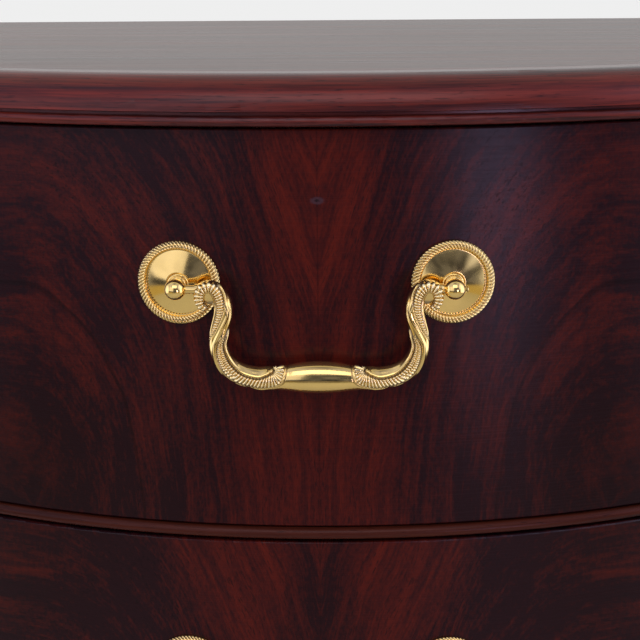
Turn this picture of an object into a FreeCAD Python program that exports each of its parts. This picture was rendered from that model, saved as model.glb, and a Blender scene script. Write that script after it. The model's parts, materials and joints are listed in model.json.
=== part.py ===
import FreeCAD, Part
import math
import os

# Tall narrow chest of six graduated drawers with a bowed front.
# X runs across the chest, Y from front to back, Z up from the floor.
# The origin is on the floor, under the middle of the whole chest.

# Carcass
case_width = 430.0
case_depth = 374.0
bow_radius = 350.0
board = 18.0
stile_depth = 24.0
rail_land = 30.0
runner_width = 22.0
back_thickness = 6.0
overrun = 5.0

# Drawers, the top one first
drawer_count = 6
top_front_height = 153.0
front_height_step = 8.0
front_thickness = 20.0
front_arris = 0.8
front_side_gap = 1.0
front_back_gap = 0.5
side_thickness = 11.0
side_pad = 18.0
bottom_thickness = 6.0
bottom_rise = 8.0
groove_depth = 5.0
groove_gap = 0.2
running_gap = 0.3
head_gap = 2.0
box_back_gap = 8.0
back_drop = 6.0

# Beads between the drawer fronts, and the gaps beside them
bead_height = 4.6
bead_proud = 1.8
gap_over_bead = 0.6
gap_under_bead = 1.4

# Moulded edge of the top
top_thickness = 18.0
top_lipping = 14.0
top_overhang = 7.0
top_bead_radius = 1.9
top_quirk = 1.0
top_quirk_depth = 1.2
top_round_start = 5.4

# Base moulding and bracket feet
foot_height = 96.0
foot_wing = 105.0
foot_thickness = 18.0
foot_out = 5.0
foot_tip_height = 22.0
foot_tip_flat = 12.0
foot_scroll_radius = 26.0
foot_block = 34.0
foot_block_height = 70.0
base_height = 30.0
base_out = 9.0
base_round = 7.0
base_fillet = 2.0

# Brass pull, with its pivots on the centre line of the posts
pull_centres = 101.6
pull_below_top = 57.0
pivot_out = 12.2
ball_diameter = 6.8
post_diameter = 4.4
post_hole_diameter = 4.8
post_collar_diameter = 7.4
post_collar_height = 3.6
post_collar_gap = 0.2
post_thread_diameter = 3.6
nut_across = 9.0
nut_height = 3.2
nut_recess_diameter = 15.0
nut_recess_floor = 18.2
thread_past_nut = 1.6
rosette_diameter = 31.6
rosette_rim = 3.3
rosette_rim_height = 2.6
rosette_edge_height = 0.9
rosette_dish = 1.4
pin_diameter = 3.0
pin_running_gap = 0.05
pin_past_ball = 1.0
scroll_from_ball = 3.4
scroll_diameter = 8.2
scroll_thickness = 6.0
neck_diameter = 6.8
neck_shoulder_radius = 5.0
neck_top_half_width = 33.3
neck_low_half_width = 35.9
neck_bend_drop = 20.2
bail_drop = 33.4
grip_half_length = 14.0
grip_diameter = 10.8

# Heights, from the floor up
bead_pitch = gap_over_bead + bead_height + gap_under_bead
front_heights = [top_front_height + front_height_step * i for i in range(drawer_count)]
base_top = foot_height + base_height
lowest_front = base_top + gap_under_bead
stack_height = sum(front_heights) + bead_pitch * (drawer_count - 1)
top_underside = lowest_front + stack_height + gap_under_bead
rail_overlap = (board - bead_pitch) / 2

# Depths, from the crown of the bow back
pull_half = pull_centres / 2
pull_seat_back = bow_radius - math.sqrt(bow_radius ** 2 - pull_half ** 2)
pivot_reach = pivot_out - pull_seat_back
front_reach = max(top_overhang, base_out, pivot_reach + grip_diameter / 2)
crown_y = (front_reach - case_depth) / 2
bow_centre_y = crown_y + bow_radius
back_y = crown_y + case_depth
pivot_y = crown_y - pivot_reach

# Widths
case_half = case_width / 2
inside_half = case_half - board
front_half = inside_half - front_side_gap
box_half = front_half - side_thickness


def vec(x, y, z):
    return FreeCAD.Vector(x, y, z)


def bow_y(x, radius):
    """Place of a bowed face at x, for a face of this radius about the bow's centre."""
    return bow_centre_y - math.sqrt(radius ** 2 - x ** 2)


inner_radius = bow_radius - front_thickness
rail_radius = inner_radius - front_back_gap
corner_y = bow_y(case_half, bow_radius)
stile_back_y = corner_y + stile_depth
pad_back_y = bow_y(front_half, inner_radius)
rail_back_y = pad_back_y + rail_land
panel_face_y = back_y - back_thickness
box_back_y = panel_face_y - box_back_gap


def block(x0, x1, y0, y1, z0, z1):
    return Part.makeBox(x1 - x0, y1 - y0, z1 - z0, vec(x0, y0, z0))


def rod_y(x, y0, y1, z, diameter):
    return Part.makeCylinder(diameter / 2, y1 - y0, vec(x, y0, z), vec(0, 1, 0))


def bow_arc(half, radius, z):
    """Arc in plan from -half to half."""
    ends = [vec(x, bow_y(x, radius), z) for x in (-half, half)]
    return Part.Arc(ends[0], vec(0, bow_centre_y - radius, z), ends[1]).toShape(), ends


def bowed_strip(half, outer, inner, z0, z1):
    """Board of even thickness bent to the bow."""
    front, a = bow_arc(half, outer, z0)
    rear, b = bow_arc(half, inner, z0)
    edges = [front, Part.makeLine(a[1], b[1]), rear, Part.makeLine(b[0], a[0])]
    return Part.Face(Part.Wire(Part.__sortEdges__(edges))).extrude(vec(0, 0, z1 - z0))


def bowed_plank(half, radius, rear_y, z0, z1):
    """Board with a bowed front edge and a straight back edge."""
    front, a = bow_arc(half, radius, z0)
    b = [vec(-half, rear_y, z0), vec(half, rear_y, z0)]
    edges = [front, Part.makeLine(a[1], b[1]), Part.makeLine(b[1], b[0]), Part.makeLine(b[0], a[0])]
    return Part.Face(Part.Wire(edges)).extrude(vec(0, 0, z1 - z0))


def prism(points, z0, z1):
    corners = [vec(x, y, z0) for x, y in points]
    return Part.Face(Part.makePolygon(corners + corners[:1])).extrude(vec(0, 0, z1 - z0))


def mirrored(shape):
    return shape.mirror(vec(0, 0, 0), vec(1, 0, 0))


def closing_lines(points):
    """Lines through the points, leaving out any that has no length."""
    pairs = zip(points[:-1], points[1:])
    return [Part.makeLine(p, q) for p, q in pairs if p.distanceToPoint(q) > Part.Precision.confusion()]


# Runs of moulding round the front and both sides, mitred at the front corners


def mitre_points(reach_in, reach_out):
    """Plan points where the front and side runs meet, well inside and well outside the corner."""
    inner = (case_half - reach_in, bow_y(case_half - reach_in, bow_radius - reach_in))
    outer = (case_half + reach_out, bow_y(case_half + reach_out, bow_radius + reach_out))
    step = (outer[0] - inner[0], outer[1] - inner[1])
    near = (inner[0] - step[0], inner[1] - step[1])
    far = (outer[0] + step[0], outer[1] + step[1])
    return near, far


def outline_face(edges_at, centre_x):
    """Face of a moulding's outline, which edges_at gives for a point function of reach and height."""
    return Part.Face(Part.Wire(edges_at(lambda reach, z: vec(centre_x + reach, bow_centre_y, z))))


def front_run(edges_at, reach_in, reach_out, z0, z1):
    ring = outline_face(edges_at, bow_radius).revolve(vec(0, bow_centre_y, 0), vec(0, 0, 1), -180)
    near, far = mitre_points(reach_in, reach_out)
    front_y = crown_y - reach_out - overrun
    points = [near, far, (far[0], front_y), (-far[0], front_y), (-far[0], far[1]), (-near[0], near[1])]
    return ring.common(prism(points, z0, z1))


def side_run(edges_at, reach_in, reach_out, z0, z1):
    face = outline_face(edges_at, case_half)
    near, far = mitre_points(reach_in, reach_out)
    face.translate(vec(0, far[1] - bow_centre_y, 0))
    bar = face.extrude(vec(0, back_y - far[1], 0))
    return bar.common(prism([near, far, (far[0], back_y), (near[0], back_y)], z0, z1))


def mitred_runs(edges_at, reach_in, reach_out, z0, z1):
    side = side_run(edges_at, reach_in, reach_out, z0, z1)
    return [front_run(edges_at, reach_in, reach_out, z0, z1), side, mirrored(side)]


# Carcass


def front_rails(rests):
    """Rails under each drawer but the lowest, and the one under the top."""
    rails = [bowed_plank(inside_half, rail_radius, rail_back_y, z - board, z) for z in rests[:-1]]
    under_top = top_underside - gap_under_bead - rail_overlap
    return rails + [bowed_plank(inside_half, rail_radius, rail_back_y, under_top, top_underside)]


def bottom_rail(rest):
    upper = bowed_plank(inside_half, rail_radius, rail_back_y, rest - board, rest)
    lower = bowed_plank(inside_half, bow_radius, rail_back_y, foot_height, base_top)
    return upper.fuse(lower).removeSplitter()


def divider_bead(z):
    """Thin strip on a rail's front, with a half-round nose a little proud of the drawers."""
    nose = bead_height / 2
    tip = bow_radius + bead_proud
    x0, x1 = rail_radius, tip - nose
    a, b, c, d = [vec(x, bow_centre_y, z + h) for x, h in
                  ((x0, 0), (x1, 0), (x1, bead_height), (x0, bead_height))]
    edges = [Part.makeLine(a, b), Part.Arc(b, vec(tip, bow_centre_y, z + nose), c).toShape(),
             Part.makeLine(c, d), Part.makeLine(d, a)]
    ring = Part.Face(Part.Wire(edges)).revolve(vec(0, bow_centre_y, 0), vec(0, 0, 1), -180)
    room = block(-inside_half, inside_half, crown_y - overrun, bow_centre_y, z, z + bead_height)
    return ring.common(room)


def drawer_runners(rests):
    pieces = []
    for z in rests[:-1]:
        runner = block(inside_half - runner_width, inside_half, rail_back_y, panel_face_y, z - board, z)
        pieces += [runner, mirrored(runner)]
    return pieces


def side_board():
    return block(inside_half, case_half, stile_back_y, back_y, foot_height, top_underside)


def stile():
    """Front post, its face carrying on the bow."""
    points = [(inside_half, crown_y), (case_half, crown_y), (case_half, stile_back_y),
              (inside_half, stile_back_y)]
    bow = Part.makeCylinder(bow_radius, top_underside - foot_height, vec(0, bow_centre_y, foot_height))
    return prism(points, foot_height, top_underside).common(bow)


def base_panel(rest):
    return block(-inside_half, inside_half, rail_back_y, panel_face_y, rest - board, rest)


def back_panel(rest):
    return block(-inside_half, inside_half, panel_face_y, back_y, rest - board, top_underside)


def top_panel():
    return bowed_plank(case_half - top_lipping, bow_radius - top_lipping, back_y,
                       top_underside, top_underside + top_thickness)


def quarter_round(at, reach, z, radius, lift):
    """Quarter circle about a centre, from its outermost point to the one over it (1) or under it (-1)."""
    lean = radius * math.sqrt(0.5)
    return Part.Arc(at(reach + radius, z), at(reach + lean, z + lean * lift),
                    at(reach, z + radius * lift)).toShape()


def top_edge_outline(at):
    """Small bead along the bottom, a quirk over it, and a broad thumb moulding up to the top."""
    z0, z1 = top_underside, top_underside + top_thickness
    bead_out = top_overhang - top_bead_radius
    bead_z = z0 + top_bead_radius
    bead_top = bead_z + top_bead_radius
    round_z = z0 + top_round_start
    round_size = z1 - round_z
    quirk_in = bead_out - top_quirk_depth
    edges = closing_lines([at(-top_lipping, z0), at(bead_out, z0)])
    edges += [quarter_round(at, bead_out, bead_z, top_bead_radius, -1),
              quarter_round(at, bead_out, bead_z, top_bead_radius, 1)]
    edges += closing_lines([at(bead_out, bead_top), at(quirk_in, bead_top),
                            at(quirk_in, bead_top + top_quirk), at(top_overhang, round_z)])
    edges.append(quarter_round(at, top_overhang - round_size, round_z, round_size, 1))
    return edges + closing_lines([at(top_overhang - round_size, z1), at(-top_lipping, z1),
                                  at(-top_lipping, z0)])


def top_edge():
    return mitred_runs(top_edge_outline, top_lipping, top_overhang,
                       top_underside, top_underside + top_thickness)


def base_outline(at):
    """Plain band with a fillet and a rounded shoulder over it, against the carcass."""
    round_z = base_top - base_round
    shoulder = base_out - base_fillet
    edges = closing_lines([at(0, foot_height), at(base_out, foot_height), at(base_out, round_z),
                           at(shoulder, round_z)])
    edges.append(quarter_round(at, shoulder - base_round, round_z, base_round, 1))
    return edges + closing_lines([at(shoulder - base_round, base_top), at(0, base_top), at(0, foot_height)])


def base_moulding():
    return mitred_runs(base_outline, 0, base_out, foot_height, base_top)


# Bracket feet


def foot_outline(at):
    reach_in = foot_out - foot_thickness
    points = [at(reach_in, 0), at(foot_out, 0), at(foot_out, foot_height), at(reach_in, foot_height)]
    return closing_lines(points + points[:1])


def bracket_cut(place):
    """Space under a wing's scrolled edge. place turns a run from the tip and a height into a point."""
    tip = foot_height - foot_tip_height
    r = foot_scroll_radius
    lean = math.sqrt(0.5)
    points = [place(s, z) for s, z in (
        (-overrun, -overrun), (-overrun, tip), (foot_tip_flat, tip),
        (foot_tip_flat + r * lean, tip - r * (1 - lean)), (foot_tip_flat + r, tip - r),
        (foot_tip_flat + r * (2 - lean), tip - r * (1 + lean)), (foot_tip_flat + r * 2, tip - r * 2),
        (foot_tip_flat + r * 2, -overrun))]
    edges = closing_lines(points[:3])
    edges += [Part.Arc(points[2], points[3], points[4]).toShape(),
              Part.Arc(points[4], points[5], points[6]).toShape()]
    return Part.Face(Part.Wire(edges + closing_lines(points[6:] + points[:1])))


def foot_side_wing(tip_y, toward):
    """Wing along the side, its tip at tip_y and its leg in the direction toward, 1 or -1."""
    run = side_run(foot_outline, foot_thickness - foot_out, foot_out, 0, foot_height)
    y0, y1 = sorted((tip_y, tip_y + toward * (foot_wing + foot_thickness * 2)))
    wing = run.common(block(0, case_width, y0, y1, 0, foot_height))
    cut = bracket_cut(lambda s, z: vec(0, tip_y + toward * s, z)).extrude(vec(case_width, 0, 0))
    return wing.cut(cut)


def front_foot():
    run = front_run(foot_outline, foot_thickness - foot_out, foot_out, 0, foot_height)
    tip_x = case_half - foot_wing
    front_y, rear_y = crown_y - foot_out - overrun, bow_centre_y
    wing = run.common(block(tip_x, case_width, front_y, rear_y, 0, foot_height))
    cut = bracket_cut(lambda s, z: vec(tip_x + s, front_y, z)).extrude(vec(0, rear_y - front_y, 0))
    return [wing.cut(cut), foot_side_wing(corner_y + foot_wing, -1)]


def back_foot():
    """Side wing and a plain bracket across the back."""
    inner = case_half + foot_out - foot_thickness
    tip_x = inner - foot_wing + foot_thickness
    across = block(tip_x, inner, back_y - foot_thickness, back_y, 0, foot_height)
    cut = bracket_cut(lambda s, z: vec(tip_x + s, back_y - foot_thickness * 2, z))
    across = across.cut(cut.extrude(vec(0, foot_thickness * 3, 0)))
    return [foot_side_wing(back_y - foot_wing, 1), across]


def corner_blocks():
    """Glue blocks in the corners of the feet, under the carcass."""
    x1 = case_half + foot_out - foot_thickness
    z0 = foot_height - foot_block_height
    front_y = bow_y(x1, bow_radius + foot_out - foot_thickness)
    back = block(x1 - foot_block, x1, back_y - foot_thickness - foot_block,
                 back_y - foot_thickness, z0, foot_height)
    front = block(x1 - foot_block, x1, front_y, front_y + foot_block, z0, foot_height)
    return [front, mirrored(front), back, mirrored(back)]


# Drawers


def bottom_space(z0, spare):
    """Room of the bottom board in its grooves, less spare at its edges."""
    half = box_half + groove_depth - spare
    return bowed_plank(half, inner_radius + groove_depth - spare, box_back_y,
                       z0 + bottom_rise, z0 + bottom_rise + bottom_thickness)


def drawer_front(z0, height, box_z0, box_z1, pull_z):
    face = bowed_strip(front_half, bow_radius, inner_radius, z0, z0 + height)
    arrises = [e for e in face.Edges if isinstance(e.Curve, Part.Circle)
               and abs(e.Curve.Radius - bow_radius) < front_arris]
    face = face.makeFillet(front_arris, arrises)
    pad_x = front_half - side_pad
    pad_y = (bow_y(front_half, bow_radius) + bow_y(pad_x, inner_radius)) / 2
    pad = block(pad_x, front_half, pad_y, pad_back_y, box_z0, box_z1)
    face = face.fuse([pad, mirrored(pad)]).cut(bottom_space(box_z0, 0))
    for x in (-pull_half, pull_half):
        seat = crown_y + pull_seat_back
        face = face.cut(rod_y(x, seat - front_thickness, seat + front_thickness * 2, pull_z,
                              post_hole_diameter))
        face = face.cut(rod_y(x, seat + nut_recess_floor, seat + front_thickness * 2, pull_z,
                              nut_recess_diameter))
    return face


def drawer_sides(box_z0, box_z1):
    side = block(box_half, front_half, pad_back_y, box_back_y, box_z0, box_z1)
    side = side.cut(bottom_space(box_z0, 0))
    return [side, mirrored(side)]


def drawer_back(box_z0, box_z1):
    return block(-box_half, box_half, box_back_y - side_thickness, box_back_y,
                 box_z0 + bottom_rise + bottom_thickness, box_z1 - back_drop)


# Pulls


def rosette(x, z):
    """Round backplate lying on the bow, with a raised rim and a shallow dished middle."""
    r = rosette_diameter / 2
    rim_in = r - rosette_rim
    mid = rim_in + rosette_rim / 2
    points = [vec(0, 0, 0), vec(r, 0, 0), vec(r, 0, rosette_edge_height),
              vec(mid, 0, rosette_rim_height), vec(rim_in, 0, rosette_edge_height),
              vec(0, 0, rosette_edge_height + rosette_dish)]
    edges = closing_lines(points[:3]) + [Part.Arc(points[2], points[3], points[4]).toShape()]
    edges += closing_lines(points[4:] + points[:1])
    plate = Part.Face(Part.Wire(edges)).revolve(vec(0, 0, 0), vec(0, 0, 1), 360)
    plate.rotate(vec(0, 0, 0), vec(1, 0, 0), 90)
    plate.rotate(vec(0, 0, 0), vec(0, 0, 1), math.degrees(math.asin(x / bow_radius)))
    seat = crown_y + pull_seat_back
    plate.translate(vec(x, seat, z))
    hole = post_collar_diameter + post_collar_gap * 2
    return plate.cut(rod_y(x, seat - rosette_diameter, seat + rosette_diameter, z, hole))


def post(x, z):
    """Post through the drawer front, with a collar on the rosette and a drilled ball at its end."""
    seat = crown_y + pull_seat_back
    collar_foot = bow_y(pull_half - post_collar_diameter / 2, bow_radius)
    collar = rod_y(x, collar_foot - post_collar_height, collar_foot, z, post_collar_diameter)
    neck = rod_y(x, pivot_y, seat, z, post_diameter)
    thread_end = seat + nut_recess_floor + nut_height + thread_past_nut
    thread = rod_y(x, seat, thread_end, z, post_thread_diameter)
    ball = Part.makeSphere(ball_diameter / 2, vec(x, pivot_y, z))
    bore = Part.makeCylinder(pin_diameter / 2 + pin_running_gap, ball_diameter * 2,
                             vec(x - ball_diameter, pivot_y, z), vec(1, 0, 0))
    return collar.fuse([neck, thread, ball]).cut(bore).removeSplitter()


def nut(x, z):
    y0 = crown_y + pull_seat_back + nut_recess_floor
    corner = nut_across / 2 / math.cos(math.radians(30))
    turns = [math.radians(60 * i) for i in range(7)]
    ring = [vec(x + corner * math.cos(t), y0, z + corner * math.sin(t)) for t in turns]
    body = Part.Face(Part.makePolygon(ring)).extrude(vec(0, nut_height, 0))
    return body.cut(rod_y(x, y0 - overrun, y0 + nut_height + overrun, z, post_thread_diameter))


def bail_path(z):
    """Centre line of the left swan neck, from the scroll down to the grip."""
    scroll_x = -pull_half + ball_diameter / 2 + scroll_from_ball
    shoulder = neck_shoulder_radius
    top_x, low_x = -neck_top_half_width, -neck_low_half_width
    fall = neck_bend_drop - shoulder
    wave = (fall ** 2 + (top_x - low_x) ** 2) / (4 * (top_x - low_x))
    sweep = math.asin(fall / 2 / wave)
    low_radius = bail_drop - neck_bend_drop
    lean = math.sqrt(0.5)

    def at(x, drop):
        return vec(x, pivot_y, z - drop)

    def on_wave(turn, middle):
        side = low_x + wave if middle > 0 else top_x - wave
        drop = neck_bend_drop if middle > 0 else shoulder
        return at(side - middle * wave * math.cos(turn), drop - middle * wave * math.sin(turn))

    start, shoulder_in = at(scroll_x, 0), at(top_x - shoulder, 0)
    shoulder_mid = at(top_x - shoulder * (1 - lean), shoulder * (1 - lean))
    shoulder_out, half_way = at(top_x, shoulder), on_wave(sweep, -1)
    low_in = at(low_x, neck_bend_drop)
    low_mid = at(low_x + low_radius * (1 - lean), neck_bend_drop + low_radius * lean)
    low_out, end = at(low_x + low_radius, bail_drop), at(-grip_half_length, bail_drop)
    return Part.Wire([
        Part.makeLine(start, shoulder_in),
        Part.Arc(shoulder_in, shoulder_mid, shoulder_out).toShape(),
        Part.Arc(shoulder_out, on_wave(sweep / 2, -1), half_way).toShape(),
        Part.Arc(half_way, on_wave(sweep / 2, 1), low_in).toShape(),
        Part.Arc(low_in, low_mid, low_out).toShape(),
        Part.makeLine(low_out, end)])


def swan_neck(z):
    path = bail_path(z)
    start = path.Edges[0].Vertexes[0].Point
    ring = Part.Wire(Part.makeCircle(neck_diameter / 2, start, vec(1, 0, 0)))
    return path.makePipeShell([ring], True, True)


def grip(z):
    """Swelling middle of the bail."""
    drop = z - bail_drop
    thin, full = neck_diameter / 2, grip_diameter / 2
    a, b = vec(-grip_half_length, pivot_y, drop + thin), vec(grip_half_length, pivot_y, drop + thin)
    axis_a, axis_b = vec(-grip_half_length, pivot_y, drop), vec(grip_half_length, pivot_y, drop)
    edges = [Part.makeLine(axis_a, a), Part.Arc(a, vec(0, pivot_y, drop + full), b).toShape(),
             Part.makeLine(b, axis_b), Part.makeLine(axis_b, axis_a)]
    return Part.Face(Part.Wire(edges)).revolve(vec(0, pivot_y, drop), vec(1, 0, 0), 360)


def bail(z):
    neck = swan_neck(z)
    scroll_x = -pull_half + ball_diameter / 2 + scroll_from_ball
    scroll_centre = scroll_x + scroll_diameter / 2
    scroll = rod_y(scroll_centre, pivot_y - scroll_thickness / 2, pivot_y + scroll_thickness / 2,
                   z, scroll_diameter)
    pin_end = -pull_half - ball_diameter / 2 - pin_past_ball
    pin = Part.makeCylinder(pin_diameter / 2, scroll_centre - pin_end, vec(pin_end, pivot_y, z),
                            vec(1, 0, 0))
    half = neck.fuse([scroll, pin])
    return half.fuse([grip(z), mirrored(half)]).removeSplitter()


# Writing the pieces


def save(name, pieces):
    shape = pieces if isinstance(pieces, Part.Shape) else Part.makeCompound(pieces)
    if not shape.isValid() or not shape.Solids:
        raise ValueError(name + " is not a sound solid")
    shape.exportStep(os.path.join("parts", name + ".step"))


def save_drawer(number, z0, height):
    name = "drawer_%d_" % number
    box_z0 = z0 + rail_overlap + running_gap
    box_z1 = z0 + height - rail_overlap - head_gap
    pull_z = z0 + height - pull_below_top
    sides = (-pull_half, pull_half)
    save(name + "front", drawer_front(z0, height, box_z0, box_z1, pull_z))
    save(name + "sides", drawer_sides(box_z0, box_z1))
    save(name + "back", drawer_back(box_z0, box_z1))
    save(name + "bottom", bottom_space(box_z0, groove_gap))
    save(name + "rosettes", [rosette(x, pull_z) for x in sides])
    save(name + "posts", [post(x, pull_z) for x in sides] + [nut(x, pull_z) for x in sides])
    save(name + "bail", bail(pull_z))


def main():
    os.makedirs("parts", exist_ok=True)
    fronts = []
    z = top_underside - gap_under_bead
    for height in front_heights:
        fronts.append(z - height)
        z -= height + bead_pitch
    rests = [z0 + rail_overlap for z0 in fronts]

    for number, (z0, height) in enumerate(zip(fronts, front_heights), 1):
        save_drawer(number, z0, height)

    save("front_rails", front_rails(rests))
    save("bottom_rail", bottom_rail(rests[-1]))
    save("divider_beads", [divider_bead(z0 - gap_over_bead - bead_height) for z0 in fronts[:-1]])
    save("drawer_runners", drawer_runners(rests))
    save("side_right", side_board())
    save("side_left", mirrored(side_board()))
    save("stile_right", stile())
    save("stile_left", mirrored(stile()))
    save("base_panel", base_panel(rests[-1]))
    save("back_panel", back_panel(rests[-1]))
    save("top_panel", top_panel())
    save("top_edge", top_edge())
    save("base_moulding", base_moulding())
    save("foot_front_right", front_foot())
    save("foot_front_left", [mirrored(piece) for piece in front_foot()])
    save("foot_back_right", back_foot())
    save("foot_back_left", [mirrored(piece) for piece in back_foot()])
    save("corner_blocks", corner_blocks())


main()
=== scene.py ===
import json
import math

import bpy
import numpy as np
from mathutils import Matrix, Vector


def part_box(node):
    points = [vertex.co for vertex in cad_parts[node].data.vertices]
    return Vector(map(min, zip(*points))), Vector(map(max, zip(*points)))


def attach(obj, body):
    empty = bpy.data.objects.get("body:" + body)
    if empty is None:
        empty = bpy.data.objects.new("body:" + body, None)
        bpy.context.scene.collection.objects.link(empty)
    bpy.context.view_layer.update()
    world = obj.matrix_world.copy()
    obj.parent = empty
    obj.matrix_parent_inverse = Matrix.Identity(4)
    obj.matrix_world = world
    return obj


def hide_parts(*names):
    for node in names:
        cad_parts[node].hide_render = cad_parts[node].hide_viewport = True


bl_info = {
    "name": "Bow-Front Chest of Drawers",
    "version": (1, 0, 0),
    "blender": (4, 5, 0),
    "location": "View3D > Sidebar > Chest",
    "description": "Dresses a tall bow-front chest: crotch veneer, mahogany, bare wood and brass pulls",
    "category": "Object",
}

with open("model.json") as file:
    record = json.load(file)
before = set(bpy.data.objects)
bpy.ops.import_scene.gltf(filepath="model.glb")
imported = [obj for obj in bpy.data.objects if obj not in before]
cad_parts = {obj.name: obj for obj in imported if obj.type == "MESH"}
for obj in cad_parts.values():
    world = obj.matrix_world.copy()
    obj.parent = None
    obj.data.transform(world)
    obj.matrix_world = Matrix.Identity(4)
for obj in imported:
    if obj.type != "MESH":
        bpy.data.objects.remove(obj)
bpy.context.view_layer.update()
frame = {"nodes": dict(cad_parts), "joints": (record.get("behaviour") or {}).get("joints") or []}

MM = 0.001
JOINTS = frame["joints"]
DRAWERS = range(1, 1 + sum(joint["type"] == "slide" for joint in JOINTS))
PIVOTS = {joint["child"]: Vector(joint["pos_m"]) for joint in JOINTS if joint["type"] == "hinge"}
CROWN_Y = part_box("drawer_1_front")[0].y
CASE_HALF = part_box("side_right")[1].x


class PullSizes(bpy.types.PropertyGroup):
    """Sizes of one brass pull."""

    centres: bpy.props.FloatProperty(
        name="Centres", description="Distance between the two posts", default=0.1016, unit="LENGTH")
    rosette_diameter: bpy.props.FloatProperty(
        name="Rosette", description="Diameter of a backplate", default=0.0316, unit="LENGTH")
    rope_width: bpy.props.FloatProperty(
        name="Rope width", description="Width of the twisted rim", default=0.0033, unit="LENGTH")
    rope_height: bpy.props.FloatProperty(
        name="Rope height", description="Height of the twisted rim over the plate's edge",
        default=0.0017, unit="LENGTH")
    rope_depth: bpy.props.FloatProperty(
        name="Rope depth", description="Depth of the valleys between the rim's strands", default=0.0007,
        unit="LENGTH")
    rope_strands: bpy.props.IntProperty(
        name="Rope strands", description="Number of strands round the rim", default=70)
    plate_edge: bpy.props.FloatProperty(
        name="Plate edge", description="Thickness of the plate at its edge", default=0.0009,
        unit="LENGTH")
    dish_rise: bpy.props.FloatProperty(
        name="Dish rise", description="Rise of the plate from its rim to its middle", default=0.0021,
        unit="LENGTH")
    ball_diameter: bpy.props.FloatProperty(
        name="Ball", description="Diameter of a post's ball", default=0.0079, unit="LENGTH")
    pivot_out: bpy.props.FloatProperty(
        name="Pivot out", description="Distance from the wood to the middle of a ball", default=0.0122,
        unit="LENGTH")
    grip_diameter: bpy.props.FloatProperty(
        name="Grip", description="Largest height of the grip", default=0.0122, unit="LENGTH")
    rib_pitch: bpy.props.FloatProperty(
        name="Rib pitch", description="Distance between two ribs at the bail's leaf ends",
        default=0.0012, unit="LENGTH")
    rib_depth: bpy.props.FloatProperty(
        name="Rib depth", description="Depth of the valleys between the ribs", default=0.0008,
        unit="LENGTH")
    rib_crown: bpy.props.FloatProperty(
        name="Rib crown", description="Rise of the ribs towards the middle of a band", default=0.00045,
        unit="LENGTH")
    bail_aside: bpy.props.FloatProperty(
        name="Bail aside", description="How far the bail has slid to the right on its posts",
        default=0.00145, unit="LENGTH")


class CrotchVeneer(bpy.types.PropertyGroup):
    """Figure and colours of the veneer on the drawer fronts."""

    bow_radius: bpy.props.FloatProperty(
        name="Bow radius", description="Radius of the fronts in plan", default=0.350, unit="LENGTH")
    joint_aside: bpy.props.FloatProperty(
        name="Joint aside", description="From the middle of the front to the joint between the leaves",
        default=0.0009, unit="LENGTH")
    arch_half: bpy.props.FloatProperty(
        name="Arch distance", description="From the middle joint to the foot of the arches",
        default=0.115, unit="LENGTH")
    arch_ratio: bpy.props.FloatProperty(
        name="Arch ratio", description="Height of an arch over its width", default=2.0)
    ground: bpy.props.FloatVectorProperty(
        name="Ground", description="Dark purple-brown ground", subtype="COLOR", size=4,
        default=(0.0155, 0.0043, 0.0064, 1))
    streak: bpy.props.FloatVectorProperty(
        name="Streak", description="Red streaks", subtype="COLOR", size=4,
        default=(0.082, 0.0092, 0.0062, 1))
    pore: bpy.props.FloatVectorProperty(
        name="Pore", description="Open pores", subtype="COLOR", size=4,
        default=(0.0055, 0.0020, 0.0026, 1))


class WoodColours(bpy.types.PropertyGroup):
    """Colours of the other woods."""

    mahogany_dark: bpy.props.FloatVectorProperty(
        name="Mahogany, dark", description="Late wood of the solid mahogany", subtype="COLOR", size=4,
        default=(0.0220, 0.0046, 0.0034, 1))
    mahogany_light: bpy.props.FloatVectorProperty(
        name="Mahogany, light", description="Early wood of the solid mahogany", subtype="COLOR", size=4,
        default=(0.100, 0.0180, 0.0085, 1))
    edge_dark: bpy.props.FloatVectorProperty(
        name="Top moulding, dark", description="Late wood of the top moulding", subtype="COLOR", size=4,
        default=(0.0180, 0.0046, 0.0056, 1))
    edge_light: bpy.props.FloatVectorProperty(
        name="Top moulding, light", description="Early wood of the top moulding", subtype="COLOR",
        size=4, default=(0.160, 0.0200, 0.0130, 1))
    bead_light: bpy.props.FloatVectorProperty(
        name="Bead, light", description="Early wood of the beads", subtype="COLOR", size=4,
        default=(0.060, 0.0120, 0.0066, 1))
    lining_dark: bpy.props.FloatVectorProperty(
        name="Lining, dark", description="Late wood of the drawer linings", subtype="COLOR", size=4,
        default=(0.42, 0.27, 0.14, 1))
    lining_light: bpy.props.FloatVectorProperty(
        name="Lining, light", description="Early wood of the drawer linings", subtype="COLOR", size=4,
        default=(0.62, 0.45, 0.27, 1))
    carcass_dark: bpy.props.FloatVectorProperty(
        name="Carcass, dark", description="Late wood of the carcass", subtype="COLOR", size=4,
        default=(0.26, 0.14, 0.075, 1))
    carcass_light: bpy.props.FloatVectorProperty(
        name="Carcass, light", description="Early wood of the carcass", subtype="COLOR", size=4,
        default=(0.45, 0.29, 0.17, 1))


class BrassFinish(bpy.types.PropertyGroup):
    """Colour and polish of the brass."""

    polished: bpy.props.FloatVectorProperty(
        name="Polished", description="Bright brass", subtype="COLOR", size=4,
        default=(0.90, 0.61, 0.17, 1))
    # Colour of the hollows: partly patina, partly painted shade
    sunken: bpy.props.FloatVectorProperty(
        name="Sunken", description="Brass down between the ribs", subtype="COLOR", size=4,
        default=(0.20, 0.138, 0.065, 1))
    # Painted highlight: pale brass laid on the crests of the ribs for their glints
    crest_highlight: bpy.props.FloatVectorProperty(
        name="Crest highlight", description="Paler brass along the crests of the ribs", subtype="COLOR", size=4,
        default=(0.99, 0.84, 0.46, 1))
    roughness: bpy.props.FloatProperty(
        name="Roughness", description="Roughness of the polished parts", default=0.10, min=0.0,
        max=1.0, subtype="FACTOR")


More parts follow.
